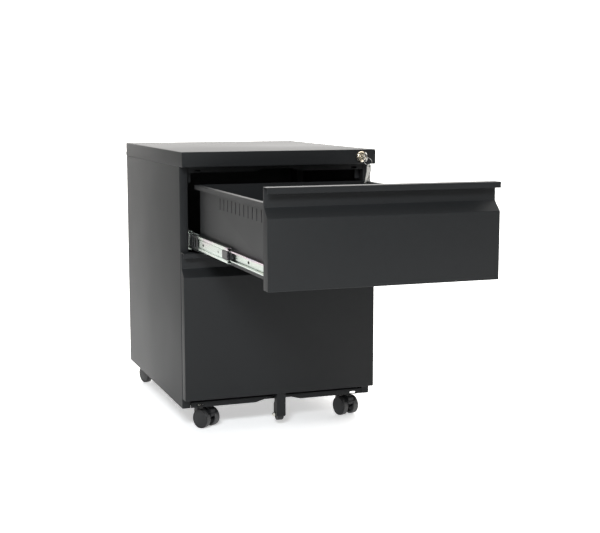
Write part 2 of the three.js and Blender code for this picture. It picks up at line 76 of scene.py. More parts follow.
class Nodes:
    """A short way to build one material's node tree."""

    def __init__(self, name, **constants):
        self.material = bpy.data.materials.new(name)
        self.material.use_nodes = True
        self.tree = self.material.node_tree
        self.shader = self.tree.nodes["Principled BSDF"]
        for socket, value in constants.items():
            self.shader.inputs[socket.replace("_", " ")].default_value = value
        self.place = self.add("ShaderNodeTexCoord").outputs["Object"]

    def add(self, kind, **inputs):
        node = self.tree.nodes.new(kind)
        for name, value in inputs.items():
            self.feed(node.inputs[name.replace("_", " ")], value)
        return node

    def feed(self, socket, value):
        if isinstance(value, bpy.types.NodeSocket):
            self.tree.links.new(value, socket)
        else:
            socket.default_value = value

    def stretched(self, scale):
        """The surface's own coordinates, stretched to give grain along one axis."""
        mapping = self.add("ShaderNodeMapping", Vector=self.place)
        mapping.inputs["Scale"].default_value = scale
        return mapping.outputs["Vector"]

    def noise(self, scale, detail=3.0, where=None, roughness=0.5):
        node = self.add("ShaderNodeTexNoise", Scale=scale, Detail=detail, Roughness=roughness)
        self.feed(node.inputs["Vector"], where or self.place)
        return node.outputs["Fac"]

    def ramp(self, factor, stops):
        node = self.add("ShaderNodeValToRGB", Fac=factor)
        elements = node.color_ramp.elements
        while len(elements) < len(stops):
            elements.new(0.5)
        for element, (at, colour) in zip(elements, stops):
            element.position = at
            element.color = (*colour, 1)
        return node.outputs["Color"]

    def span(self, factor, lowest, highest, begin=0.3, end=0.7):
        node = self.add("ShaderNodeMapRange", Value=factor)
        node.inputs["From Min"].default_value = begin
        node.inputs["From Max"].default_value = end
        node.inputs["To Min"].default_value = lowest
        node.inputs["To Max"].default_value = highest
        return node.outputs["Result"]

    def mix(self, factor, first, second):
        node = self.add("ShaderNodeMix")
        node.data_type = "RGBA"
        self.feed(node.inputs["Factor"], factor)
        self.feed(node.inputs["A"], first)
        self.feed(node.inputs["B"], second)
        return node.outputs["Result"]

    def bump(self, height, distance, strength=1.0, under=None):
        node = self.add("ShaderNodeBump", Height=height, Strength=strength, Distance=distance)
        if under is not None:
            self.feed(node.inputs["Normal"], under)
        return node.outputs["Normal"]

    def surface(self, **inputs):
        for name, value in inputs.items():
            self.feed(self.shader.inputs[name.replace("_", " ")], value)
        return self.material


def powder_coat():
    """Charcoal powder coat: a fine orange peel, slightly uneven in gloss and in colour."""
    n = Nodes("powder_coat", IOR=1.25)
    grain = n.noise(1500, 2)
    flow = n.noise(240, 2)
    cloud = n.noise(5, 2)
    colour = n.ramp(cloud, [(0.3, (0.0104, 0.0111, 0.0117)), (0.7, (0.0116, 0.0123, 0.0129))])
    speck = n.ramp(grain, [(0.30, (0.0082, 0.0087, 0.0092)), (0.56, (0.0134, 0.0141, 0.0148))])
    peel = n.bump(flow, 0.00003, 0.3)
    return n.surface(
        Base_Color=n.mix(0.4, colour, speck),
        Roughness=n.span(cloud, 0.46, 0.50),
        Normal=n.bump(grain, 0.00002, 0.35, peel),
    )


def slide_zinc():
    """Bright zinc plate with the passivation's faint bands of blue, pink and yellow."""
    n = Nodes("slide_zinc", Metallic=1.0)
    drawn = n.noise(900, 2, n.stretched((1, 0.03, 1)))
    film = n.noise(11, 1, n.stretched((1, 0.5, 1)), 0.3)
    tint = n.ramp(film, [
        (0.34, (0.40, 0.52, 0.60)), (0.42, (0.56, 0.46, 0.52)), (0.49, (0.56, 0.62, 0.56)),
        (0.56, (0.54, 0.61, 0.57)), (0.63, (0.62, 0.58, 0.46)), (0.72, (0.58, 0.44, 0.50)),
    ])
    return n.surface(
        Base_Color=tint,
        Roughness=n.span(drawn, 0.22, 0.26),
        Normal=n.bump(drawn, 0.00001, 0.05),
    )


def bright_zinc():
    """Plain zinc plate on small turned and pressed parts, a little yellow."""
    n = Nodes("bright_zinc", Metallic=1.0)
    spangle = n.noise(700, 3)
    patch = n.noise(60, 2)
    colour = n.ramp(patch, [(0.3, (0.60, 0.60, 0.58)), (0.7, (0.70, 0.67, 0.56))])
    return n.surface(
        Base_Color=colour,
        Roughness=n.span(spangle, 0.26, 0.42),
        Normal=n.bump(spangle, 0.00002, 0.3),
    )


def lock_nickel():
    """Warm polished nickel with fine turning marks and a little tarnish."""
    n = Nodes("lock_nickel", Metallic=1.0)
    marks = n.noise(1800, 2, n.stretched((1, 0.1, 1)))
    tarnish = n.noise(170, 3)
    colour = n.ramp(tarnish, [(0.35, (0.78, 0.72, 0.61)), (0.72, (0.60, 0.51, 0.37))])
    return n.surface(
        Base_Color=colour,
        Roughness=n.span(marks, 0.13, 0.26),
        Normal=n.bump(marks, 0.00001, 0.25),
    )


def key_steel():
    """Nickel-plated key stock, dulled by handling."""
    n = Nodes("key_steel", Metallic=1.0)
    scratch = n.noise(1300, 3, n.stretched((1, 1, 0.08)))
    worn = n.noise(210, 2)
    colour = n.ramp(worn, [(0.3, (0.60, 0.60, 0.58)), (0.7, (0.47, 0.46, 0.43))])
    return n.surface(
        Base_Color=colour,
        Roughness=n.span(scratch, 0.2, 0.38),
        Normal=n.bump(scratch, 0.00002, 0.4),
    )


def black_nylon():
    """Moulded black nylon with a fine spark-eroded texture."""
    n = Nodes("black_nylon", IOR=1.36)
    texture = n.noise(1700, 3)
    flow = n.noise(45, 2)
    colour = n.ramp(flow, [(0.3, (0.0075, 0.0078, 0.0086)), (0.7, (0.0125, 0.0128, 0.0138))])
    return n.surface(
        Base_Color=colour,
        Roughness=n.span(flow, 0.30, 0.44),
        Normal=n.bump(texture, 0.00002, 0.4),
    )


def castor_tread():
    """Dark grey tread, scuffed lighter by the floor."""
    n = Nodes("castor_tread", IOR=1.5)
    scuff = n.noise(330, 4)
    colour = n.ramp(scuff, [(0.35, (0.030, 0.030, 0.032)), (0.75, (0.060, 0.059, 0.056))])
    return n.surface(
        Base_Color=colour,
        Roughness=n.span(scuff, 0.42, 0.62),
        Normal=n.bump(scuff, 0.00006, 0.5),
    )


MATERIALS = {make.__name__: make() for make in (
    powder_coat, slide_zinc, bright_zinc, lock_nickel, key_steel, black_nylon, castor_tread)}


# ---- Mesh building --------------------------------------------------------------------------


def place(axis, u, v, along):
    """A point from its two outline coordinates and its distance along the axis, in metres."""
    if axis == "x":
        return Vector((along, u, v)) * MM
    if axis == "y":
        return Vector((u, along, v)) * MM
    return Vector((u, v, along)) * MM


def filleted(path, radius, steps=4):
    """The path with each corner turned into an arc."""
    points = [Vector(path[0])]
    for before, corner, after in zip(path, path[1:], path[2:]):
        corner = Vector(corner)
        back, on = Vector(before) - corner, Vector(after) - corner
        half = back.angle(on) / 2
        reach = min(radius / math.tan(half), 0.48 * back.length, 0.48 * on.length)
        back.normalize()
        on.normalize()
        r = reach * math.tan(half)
        centre = corner + (back + on).normalized() * (r / math.sin(half))
        start, end = corner + back * reach - centre, corner + on * reach - centre
        sweep = start.angle_signed(end)
        for i in range(steps + 1):
            spoke = start.copy()
            spoke.rotate(Matrix.Rotation(-sweep * i / steps, 2))
            points.append(centre + spoke)
    points.append(Vector(path[-1]))
    return points


def both_sides(line, thickness):
    """The line moved half a thickness to each side."""
    sides = ([], [])
    for i, point in enumerate(line):
        steps = [(line[j + 1] - line[j]).normalized()
                 for j in (i - 1, i) if 0 <= j < len(line) - 1]
        tangent = sum(steps, Vector((0, 0))).normalized()
        normal = Vector((-tangent.y, tangent.x))
        stretch = 1 / max(0.5, tangent.dot(steps[-1]))
        for side, sign in zip(sides, (1, -1)):
            side.append(point + normal * (sign * stretch * thickness / 2))
    return sides


def add_fold(bm, path, axis, start, end, thickness=SHEET, radius=BEND, steps=4):
    """A folded sheet: the path is the middle of the sheet, swept from start to end."""
    left, right = both_sides(filleted(path, radius, steps), thickness)
    outline = left + right[::-1]
    rings = [[bm.verts.new(place(axis, p.x, p.y, along)) for p in outline]
             for along in (start, end)]
    count, half = len(outline), len(left)
    for i in range(count):
        j = (i + 1) % count
        bm.faces.new((rings[0][i], rings[0][j], rings[1][j], rings[1][i]))
    for ring in rings:
        for i in range(half - 1):
            bm.faces.new((ring[i], ring[i + 1], ring[count - 2 - i], ring[count - 1 - i]))


def add_block(bm, xs, ys, zs):
    corners = [Vector((x, y, z)) * MM for x in xs for y in ys for z in zs]
    v = [bm.verts.new(c) for c in corners]
    for face in ((0, 1, 3, 2), (4, 6, 7, 5), (0, 4, 5, 1), (2, 3, 7, 6), (0, 2, 6, 4), (1, 5, 7, 3)):
        bm.faces.new([v[i] for i in face])


def add_prism(bm, outline, axis, start, end):
    rings = [[bm.verts.new(place(axis, u, v, along)) for u, v in outline]
             for along in (start, end)]
    count = len(outline)
    for i in range(count):
        j = (i + 1) % count
        bm.faces.new((rings[0][i], rings[0][j], rings[1][j], rings[1][i]))
    bm.faces.new(rings[0][::-1])
    bm.faces.new(rings[1])


def add_turned(bm, profile, axis, centre, segments=56):
    """A turned piece: (radius, along) points; a point at radius 0 closes the piece there."""
    def ring(radius, along):
        points = []
        for i in range(segments):
            angle = 2 * math.pi * i / segments
            u, v = radius * math.cos(angle), radius * math.sin(angle)
            points.append(place(axis, u, v, along) + Vector(centre) * MM)
        return points

    rings = []
    for radius, along in profile:
        if radius == 0:
            tip = place(axis, 0, 0, along) + Vector(centre) * MM
            rings.append([bm.verts.new(tip)])
        else:
            rings.append([bm.verts.new(p) for p in ring(radius, along)])
    for first, second in zip(rings, rings[1:]):
        for i in range(segments):
            j = (i + 1) % segments
            corners = [first[i % len(first)], first[j % len(first)],
                       second[j % len(second)], second[i % len(second)]]
            kept = [c for k, c in enumerate(corners) if c not in corners[:k]]
            if len(kept) > 2:
                bm.faces.new(kept)


def arc(centre, radius, start, end, steps):
    """Points on an arc, from one angle to the other in degrees."""
    angles = [math.radians(start + (end - start) * i / steps) for i in range(steps + 1)]
    return [(centre[0] + radius * math.cos(a), centre[1] + radius * math.sin(a)) for a in angles]


def new_object(name, build):
    """A mesh object from a function that fills a bmesh."""
    bm = bmesh.new()
    build(bm)
    bmesh.ops.remove_doubles(bm, verts=bm.verts, dist=1e-7)
    bmesh.ops.recalc_face_normals(bm, faces=bm.faces)
    mesh = bpy.data.meshes.new(name)
    bm.to_mesh(mesh)
    bm.free()
    thing = bpy.data.objects.new(name, mesh)
    bpy.context.scene.collection.objects.link(thing)
    return thing


def smooth(thing, angle=32):
    mesh = thing.data
    mesh.polygons.foreach_set("use_smooth", [True] * len(mesh.polygons))
    mesh.set_sharp_from_angle(angle=math.radians(angle))


def soften(thing, width, segments=2, angle=40):
    """Rounds the edges that turn by more than the angle."""
    bevel = thing.modifiers.new("edges", "BEVEL")
    bevel.width = width * MM
    bevel.segments = segments
    bevel.limit_method = "ANGLE"
    bevel.angle_limit = math.radians(angle)
    bevel.harden_normals = True
    bevel.use_clamp_overlap = True


def settle(thing):
    """Applies the modifiers, so that the mesh is what shows."""
    bpy.context.view_layer.update()
    graph = bpy.context.evaluated_depsgraph_get()
    mesh = bpy.data.meshes.new_from_object(thing.evaluated_get(graph))
    old = thing.data
    thing.modifiers.clear()
    thing.data = mesh
    bpy.data.meshes.remove(old)


def combine(thing, tools, operation="DIFFERENCE"):
    """Cuts the tools out of the thing, or joins them to it."""
    for tool in tools:
        modifier = thing.modifiers.new("combine", "BOOLEAN")
        modifier.operation = operation
        modifier.solver = "EXACT"
        modifier.object = tool
    settle(thing)
    for tool in tools:
        bpy.data.objects.remove(tool)


def hand_over(thing, body, slot, stands_for=()):
    """Gives the piece its material and its body, and hides the CAD nodes that it stands for."""
    thing.data.materials.clear()
    thing.data.materials.append(MATERIALS[slot])
    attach(thing, body)
    if stands_for:
        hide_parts(*stands_for)


def piece(name, body, slot, build, stands_for=(), edge=0.18, segments=2, tools=(), joined=()):
    """Makes a piece, cuts it, rounds its edges, and hands it to its body."""
    thing = new_object(name, build)
    if joined:
        combine(thing, [new_object("tool", t) for t in joined], "UNION")
    if tools:
        combine(thing, [new_object("tool", t) for t in tools])
    smooth(thing)
    if edge:
        soften(thing, edge, segments)
    hand_over(thing, body, slot, stands_for)


# ---- Case -----------------------------------------------------------------------------------

PAN_FLANGE = 14                            # the top's flange, folded in under it
PAN_ROUND = 1.6
LOCK_HOLE_R = 8.3
SIDE_FLANGE = 13.5
RETURN_DEEP = 16                           # the stile's return into the case
FINGER_Z = {"upper": 425, "lower": 265}    # where the lock bar's fingers rest


def rounded_pan(bm):
    """The top: a box with rounded edges, open below but for a flange folded in."""
    (x0, y0, z0), (x1, y1, z1) = low("top_panel"), high("top_panel")
    bmesh.ops.create_cube(bm, size=1)
    for v in bm.verts:
        v.co = Vector((
            (x1 if v.co.x > 0 else x0) * MM,
            (y1 if v.co.y > 0 else y0) * MM,
            (z1 if v.co.z > 0 else z0) * MM,
        ))
    bmesh.ops.bevel(
        bm, geom=list(bm.edges), offset=PAN_ROUND * MM, segments=4, profile=0.5, affect="EDGES")
    floor = min(bm.faces, key=lambda f: f.calc_center_median().z)
    bmesh.ops.delete(bm, geom=[floor], context="FACES_ONLY")
    rim = [e for e in bm.edges if e.is_boundary]
    grown = bmesh.ops.extrude_edge_only(bm, edges=rim)["geom"]
    for v in grown:
        if isinstance(v, bmesh.types.BMVert):
            v.co.x = max(x0 + PAN_FLANGE, min(x1 - PAN_FLANGE, v.co.x / MM)) * MM
            v.co.y = max(y0 + PAN_FLANGE, min(y1 - PAN_FLANGE, v.co.y / MM)) * MM


def top_panel():
    """The rounded pan in sheet metal, with the lock's hole."""
    thing = new_object("top_shell", rounded_pan)
    solidify = thing.modifiers.new("sheet", "SOLIDIFY")
    solidify.thickness = SHEET * MM
    solidify.offset = -1
    settle(thing)
    middle = (low("lock_barrel") + high("lock_barrel")) / 2

    def lock_hole(bm):
        profile = [(0, -2), (LOCK_HOLE_R, -2), (LOCK_HOLE_R, 4), (0, 4)]
        add_turned(bm, profile, "y", (middle.x, 0, middle.z), 40)

    combine(thing, [new_object("tool", lock_hole)])
    smooth(thing)
    soften(thing, 0.15)
    hand_over(thing, "cabinet", "powder_coat", ("top_panel",))


def side_panel(word, side):
    """One sheet: return, stile, wall and rear flange, with flanges at the top and bottom."""
    node = f"side_panel_{word}"
    bottom, top = low(node).z, high(node).z
    front, rear = low(node).y, high(node).y
    outer = max(abs(low(node).x), abs(high(node).x)) - SHEET / 2
    inner = min(abs(low(node).x), abs(high(node).x)) + SHEET / 2
    flange = outer - SIDE_FLANGE
    path = [
        (side * inner, front + RETURN_DEEP), (side * inner, front + SHEET / 2),
        (side * outer, front + SHEET / 2), (side * outer, rear - SHEET / 2),
        (side * flange, rear - SHEET / 2),
    ]

    def build(bm):
        add_fold(bm, path, "z", bottom, top)
        across = sorted((side * flange, side * (outer - 0.55)))
        for z in (bottom + SHEET / 2, top - SHEET / 2):
            add_block(bm, across, (front + 20, rear - 1.1), (z - SHEET / 2, z + SHEET / 2))

    def finger_way(z):
        return lambda bm: add_block(bm, (side * inner - 2, side * inner + 2),
                                    (front + 3.6, front + 7.6), (z - 1, z + 23))

    ways = [finger_way(z) for z in FINGER_Z.values()] if side > 0 else []
    piece(f"side_shell_{word}", "cabinet", "powder_coat", build, (node,), tools=ways)


top_panel()
for word, side in SIDES.items():
    side_panel(word, side)


# ---- Drawers --------------------------------------------------------------------------------

PULL_DEEP = 17
PULL_SLOPE_TOP = 30.5
PULL_SLOPE_BOTTOM = 46.3
LIP_HIGH = 9.5
BOX_HALF = 164.3      # half a drawer box's width, between its sides' outer faces
FOOT_FLANGE = 9.5
SLOT_FIRST = 120.5    # divider slots, counted from the front with the drawer shut
SLOT_PITCH = 23.35
SLOT_COUNT = 11
SLOT_HIGH = 20.5
SLOT_R = 1.5
TAB_RISE = 12         # the lock tab stands this far over the bar's resting finger
TAB_HIGH = 12


def drawer_front(name):
    """The front pan: face, slope and recess wall in one shell, with the lip folded over it."""
    node = f"{name}_drawer_front"
    body = f"{name}_drawer"
    bottom, top = low(node).z, high(node).z
    front, rear = low(node).y, high(node).y
    half = high(f"{name}_drawer_inner_front").x
    lip_half = high(node).x
    slope_top, slope_bottom = top - PULL_SLOPE_TOP, top - PULL_SLOPE_BOTTOM
    recess = front + PULL_DEEP
    under_lip = top - SHEET - 0.02
    outline = [
        (front, bottom), (front, slope_bottom), (recess, slope_top), (recess, under_lip),
        (rear, under_lip), (rear, bottom),
    ]
    shell = new_object(f"{name}_front_shell", lambda bm: add_prism(bm, outline, "x", -half, half))
    bm = bmesh.new()
    bm.from_mesh(shell.data)
    back = max(bm.faces, key=lambda f: f.calc_center_median().y)
    rear_edges = set(back.edges)
    bmesh.ops.bevel(bm, geom=[e for e in bm.edges if e not in rear_edges],
                    offset=1.0 * MM, segments=4, profile=0.5, affect="EDGES", clamp_overlap=True)
    back = max(bm.faces, key=lambda f: f.calc_center_median().y)
    bmesh.ops.delete(bm, geom=[back], context="FACES_ONLY")
    bm.to_mesh(shell.data)
    bm.free()
    solidify = shell.modifiers.new("sheet", "SOLIDIFY")
    solidify.thickness = SHEET * MM
    solidify.offset = -1
    settle(shell)
    smooth(shell)
    soften(shell, 0.12)
    hand_over(shell, body, "powder_coat", (node,))

    def lip(bm):
        level, edge = top - SHEET / 2, front + SHEET / 2
        path = [(rear - 0.5, level), (edge, level), (edge, top - LIP_HIGH)]
        add_fold(bm, path, "x", -lip_half, lip_half, radius=0.9)

    piece(f"{name}_front_lip", body, "powder_coat", lip, edge=0.25)


def drawer_side(name, word, side):
    """Rim, wall and foot flange in one folded sheet, with the divider slots cut through."""
    node = f"{name}_drawer_side_{word}"
    front, rear = low(node).y, high(node).y
    foot, rim = low(node).z, high(node).z
    wall = BOX_HALF - SHEET / 2
    rim_out = abs(low(f"{name}_drawer_side_left").x) - SHEET / 2
    path = [
        (side * rim_out, rim - 8), (side * rim_out, rim - SHEET / 2),
        (side * wall, rim - SHEET / 2), (side * wall, foot + SHEET / 2),
        (side * (wall - FOOT_FLANGE), foot + SHEET / 2),
    ]
    slot_top = rim - 14
    drawn = front - low("lower_drawer_side_left").y

    def build(bm):
        add_fold(bm, path, "y", front, rear, radius=0.9)

    def slot(y):
        outline = (arc((y, slot_top - SLOT_R), SLOT_R, 0, 180, 6)
                   + arc((y, slot_top - SLOT_HIGH + SLOT_R), SLOT_R, 180, 360, 6))
        return lambda bm: add_prism(bm, outline, "x", side * wall - 2, side * wall + 2)

    count = SLOT_COUNT if name == "upper" else 0
    slots = [slot(SLOT_FIRST + drawn + SLOT_PITCH * i) for i in range(count)]

    def tab(bm):
        z = FINGER_Z[name] + TAB_RISE
        add_block(bm, (wall, 172), (33 + drawn, 36 + drawn), (z, z + TAB_HIGH))

    piece(f"{name}_side_{word}", f"{name}_drawer", "powder_coat", build, (node,),
          tools=slots, joined=[tab] if side > 0 else [])


for name in DRAWERS:
    drawer_front(name)
    for word, side in SIDES.items():
        drawer_side(name, word, side)


# ---- Rails and guide strips -------------------------------------------------------------------

NOTCH_WIDE = 46       # half widths of a rail's notch, at its mouth and at its bottom
NOTCH_NARROW = 28
NOTCH_DEEP = 5
RAIL_SLOT_R = 2
RAIL_SLOT_RISE = 3.6
RAIL_SLOT_REACH = 8   # between the centres of a slot's round ends


def front_rail(node):
    """A folded strip with a notch in its lower edge and a slot near each end."""
    (x0, y0, z0), (x1, y1, z1) = low(node), high(node)
    notch = [(-NOTCH_WIDE, z0 - 2), (NOTCH_WIDE, z0 - 2), (NOTCH_WIDE, z0),
             (NOTCH_NARROW, z0 + NOTCH_DEEP), (-NOTCH_NARROW, z0 + NOTCH_DEEP), (-NOTCH_WIDE, z0)]

    def strip(bm):
        path = [(y1, z1 - SHEET / 2), (y0 + SHEET / 2, z1 - SHEET / 2), (y0 + SHEET / 2, z0)]
        add_fold(bm, path, "x", x0, x1)

    def slot(start):
        z = z0 + RAIL_SLOT_RISE
        near = start + RAIL_SLOT_R
        outline = (arc((near, z), RAIL_SLOT_R, 90, 270, 8)
                   + arc((near + RAIL_SLOT_REACH, z), RAIL_SLOT_R, -90, 90, 8))
        return lambda bm: add_prism(bm, outline, "y", y0 - 2, y0 + 3)

    cuts = [lambda bm: add_prism(bm, notch, "y", y0 - 2, y0 + 3), slot(x0 + 13), slot(x1 - 25)]
    piece(f"{node}_strip", "cabinet", "powder_coat", strip, (node,), edge=0.25, tools=cuts)


def guide_strip(word, side):
    """A short angle behind each stile, over the upper drawer's rim."""
    front = high(f"side_panel_{word}").y - 458
    path = [(side * 177.6, front + 14), (side * 177.6, front), (side * 168, front)]
    piece(f"guide_strip_{word}", "cabinet", "powder_coat",
          lambda bm: add_fold(bm, path, "z", 481, 499, thickness=0.8, radius=0.7), edge=0.15)


# ---- Ball-bearing slides ----------------------------------------------------------------------


def mirrored(path):
    """A profile's upper half, and the same points below the slide's middle line."""
    return path + [(x, -z) for x, z in reversed(path)]


SLIDE_PROFILES = {
    "outer": mirrored([(168.9, 14.6), (168.9, 17.2), (177.1, 17.2)]),
    "middle": mirrored([(167.5, 10.6), (167.5, 12.9), (174.4, 12.9), (174.4, 8.6), (172.3, 8.4),
                        (172.3, 6.8), (173.4, 6.4)]),
    "inner": mirrored([(170.9, 6.8), (170.9, 8.8), (165.2, 8.8)]),
}
SLIDE_WEB = {"outer": 177.1, "middle": 173.4, "inner": 165.2}
SLIDE_SHEET = {"outer": 1.2, "middle": 0.9, "inner": 1.2}
SLIDE_BEND = {"outer": 1.5, "middle": 0.6, "inner": 1.5}
CAGE_START = 190      # from the middle member's front end, as the photographed drawer shows it
CAGE_LONG = 68
BALL_ROW = 15
BALL_PITCH = 7.5
BALL_R = 1.3
LEVER_START = 240     # from the inner member's front end
SLIDE_BODY = {"outer": "cabinet", "middle": "{}_slide_middles", "inner": "{}_drawer"}


def slide_member(name, word, side, kind):
    """One channel, with screw holes along its web."""
    node = f"{name}_slide_{kind}_{word}"
    middle = (low(node).z + high(node).z) / 2
    front, rear = low(node).y, high(node).y
    path = [(side * x, middle + z) for x, z in SLIDE_PROFILES[kind]]
    web = SLIDE_WEB[kind]

    def hole(y, reach, half):
        outline = arc((y, middle), half, 90, 270, 8) + arc((y + reach, middle), half, -90, 90, 8)
        return lambda bm: add_prism(bm, outline, "x", side * web - 1.5, side * web + 1.5)

    holes = [hole(front + 60 + 96 * i, 5 * (i % 2), 2.3) for i in range(4)]
    if kind == "middle":
        holes.append(lambda bm: add_block(bm, sorted((side * 170, side * 176)),
                                          (front - 1, front + 34), (middle - 8, middle + 8)))
    piece(f"{node}_channel", SLIDE_BODY[kind].format(name), "slide_zinc",
          lambda bm: add_fold(bm, path, "y", front, rear, SLIDE_SHEET[kind], SLIDE_BEND[kind]),
          (node,), edge=0.15, tools=holes)


def slide_bumper(name, word, side):
    """Two black mouldings: a cap on the middle member's end, and a lever in the inner channel."""
    node = f"{name}_slide_middle_{word}"
    middle = (low(node).z + high(node).z) / 2
    front = low(node).y
    cap = (arc((front + 3, middle - 4.4), 3.2, 120, 300, 10)
           + [(front + 33, middle - 7.6), (front + 33, middle + 7.6)]
           + arc((front + 3, middle + 4.4), 3.2, 60, 240, 10))
    piece(f"{name}_slide_cap_{word}", f"{name}_slide_middles", "black_nylon",
          lambda bm: add_prism(bm, cap, "x", side * 171.3, side * 174.8), edge=0.5)

    start = low(f"{name}_slide_inner_{word}").y + LEVER_START
    lever = (arc((start + 5, middle + 2.8), 4.8, 60, 200, 12)
             + arc((start + 5, middle - 2.8), 4.8, 160, 300, 12)
             + [(start + 14, middle - 5)] + arc((start + 30, middle - 2.8), 4.8, 240, 330, 8)
             + arc((start + 30, middle + 2.8), 4.8, 30, 120, 8) + [(start + 14, middle + 5)])
    piece(f"{name}_slide_lever_{word}", f"{name}_drawer", "black_nylon",
          lambda bm: add_prism(bm, lever, "x", side * 166.1, side * 170.8), edge=0.5,
          segments=3)


def ball_cage(name, word, side):
    """The outer ball cage's front end, a black strip with windows, and the balls it holds."""
    node = f"{name}_slide_middle_{word}"
    middle = (low(node).z + high(node).z) / 2
    front = low(node).y + CAGE_START

    def strips(bm):
        for sign in (-1, 1):
            z = middle + sign * BALL_ROW
            add_block(bm, sorted((side * 169.8, side * 175.6)), (front, front + CAGE_LONG),
                      (z - 0.5, z + 0.5))
        add_block(bm, sorted((side * 175.3, side * 176.1)), (front, front + CAGE_LONG),
                  (middle - 12, middle + 12))

    def window(i):
        return lambda bm: add_block(bm, sorted((side * 175, side * 176.4)),
                                    (front + 9 + 18 * i, front + 18 + 18 * i),
                                    (middle - 8, middle + 8))

    def balls(bm):
        for sign in (-1, 1):
            for i in range(9):
                spot = Vector((side * 172.4, front + 4 + BALL_PITCH * i,
                               middle + sign * BALL_ROW)) * MM
                bmesh.ops.create_uvsphere(bm, u_segments=16, v_segments=8, radius=BALL_R * MM,
                                          matrix=Matrix.Translation(spot))

    piece(f"{name}_ball_cage_{word}", f"{name}_slide_middles", "black_nylon", strips, edge=0.2,
          tools=[window(i) for i in range(3)])
    piece(f"{name}_balls_{word}", f"{name}_slide_middles", "slide_zinc", balls, edge=0)


# ---- Castors ----------------------------------------------------------------------------------

CASTORS = ("front_left", "front_right", "rear_left", "rear_right")
TRAIL = 18
WHEEL_R = 19
HOOD_TOP = 40.6
HOOD_BOTTOM = 25
PIN_HALF = 16


def castor(name):
    """One twin-wheel castor, shaped about its own stem and then turned to where it rests."""
    stem_low, stem_high = low(f"castor_stem_{name}"), high(f"castor_stem_{name}")
    stem = ((stem_low + stem_high) / 2).to_2d()
    joints = frame["record"]["behaviour"]["joints"]
    axis = next(j["axis"] for j in joints if j["name"] == f"castor_{name}_wheel_left_spin")
    turn = Matrix.Rotation(math.atan2(axis[1], axis[0]), 4, "Z")
    stand = Matrix.Translation(Vector((stem.x, stem.y, 0)) * MM) @ turn

    def placed(*shapes):
        def build(bm):
            for shape in shapes:
                shape(bm)
            bmesh.ops.transform(bm, matrix=stand, verts=bm.verts)
        return build

    body = f"castor_{name}"
    axle = (-TRAIL, WHEEL_R)

    def web(bm):
        outline = ([(8, HOOD_TOP), (8, HOOD_BOTTOM), (axle[0] + 7, axle[1] - 4)]
                   + arc(axle, 8, -30, -180, 12)
                   + [(-36, 24), (-36, 34)] + arc((-31, 35.6), 5, 180, 90, 6))
        add_prism(bm, outline, "x", -6.4, 6.4)

    def fender(bm):
        outline = arc(axle, WHEEL_R + 2.1, 85, 151, 24) + arc(axle, WHEEL_R + 0.7, 151, 85, 24)
        add_prism(bm, outline, "x", -12.5, 12.5)

    def socket(bm):
        profile = [(0, HOOD_BOTTOM), (8, HOOD_BOTTOM), (8, 39.6), (7, HOOD_TOP), (0, HOOD_TOP)]
        add_turned(bm, profile, "z", (0, 0, 0), 40)

    def pin(bm):
        profile = [(0, -PIN_HALF), (2.9, -PIN_HALF), (2.9, PIN_HALF), (0, PIN_HALF)]
        add_turned(bm, profile, "x", (0, *axle), 24)

    def bore(bm):
        add_turned(bm, [(0, 25.6), (3.8, 25.6), (3.8, 43), (0, 43)], "z", (0, 0, 0), 32)

    piece(f"{body}_hood", body, "black_nylon", placed(web), (f"castor_hood_{name}",), edge=0.7,
          segments=3, joined=[placed(fender), placed(socket), placed(pin)], tools=[placed(bore)])

    for word, side in SIDES.items():
        tyre = [(15.4, 7.1), (18.0, 7.1), (18.9, 8.0), (WHEEL_R, 9.4), (WHEEL_R, 16.2),
                (18.9, 17.0), (18.2, 17.0), (18.2, 11), (15.4, 11), (15.4, 7.1)]
        disc = [(0, 16.4), (3.3, 16.4), (3.3, 7.1), (6, 7.1), (6, 11.1), (18.1, 11.1),
                (18.1, 17.3), (18.6, 17.4), (18.7, 18.3), (18.2, 18.9), (16.6, 19.1),
                (16.2, 18.8), (15.8, 19.1), (9, 19.4), (0, 19.5)]

        def on_side(profile):
            points = [(r, side * along) for r, along in profile]
            return lambda bm: add_turned(bm, points, "x", (0, *axle), 64)

        wheel = f"{body}_wheel_{word}"
        piece(f"{wheel}_tyre", wheel, "castor_tread", placed(on_side(tyre)),
              (f"castor_wheel_{name}_{word}",), edge=0.15)
        piece(f"{wheel}_disc", wheel, "black_nylon",
              placed(on_side(disc)), edge=0.15)


# ---- Anti-tip wheel ---------------------------------------------------------------------------


def anti_tip():
    """The roller and its axle bolt; the bracket is shown as CAD made it."""
    wheel_low, wheel_high = low("anti_tip_wheel"), high("anti_tip_wheel")
    centre = (0, (wheel_low.y + wheel_high.y) / 2, (wheel_low.z + wheel_high.z) / 2)
    half, radius = wheel_high.x, (wheel_high.y - wheel_low.y) / 2
    profile = [(2.7, -half), (4.6, -half), (5, 0.8 - half), (8.8, 0.8 - half), (9.4, -half),
               (radius - 1.6, -half), (radius - 0.4, 0.6 - half), (radius, 1.8 - half)]
    profile += [(r, -along) for r, along in reversed(profile)] + [(2.7, -half)]
    piece("anti_tip_roller", "anti_tip_wheel", "black_nylon",
          lambda bm: add_turned(bm, profile, "x", centre, 56), ("anti_tip_wheel",), edge=0.15)

    head, reach = low("anti_tip_axle").x, high("anti_tip_axle").x
    bolt = [(0, head - 1.6), (1.8, head - 1.2), (3.4, head - 0.2), (4, head + 0.8), (4, -9.4),
            (2.3, -9.3), (2.3, 9.3), (3.6, 9.4), (3.6, reach - 1.2), (2.4, reach - 0.6),
            (0, reach - 0.6)]
    piece("anti_tip_bolt", "lower_drawer", "bright_zinc",
          lambda bm: add_turned(bm, bolt, "x", centre, 32), ("anti_tip_axle",), edge=0.1)


# ---- Lock and keys ----------------------------------------------------------------------------


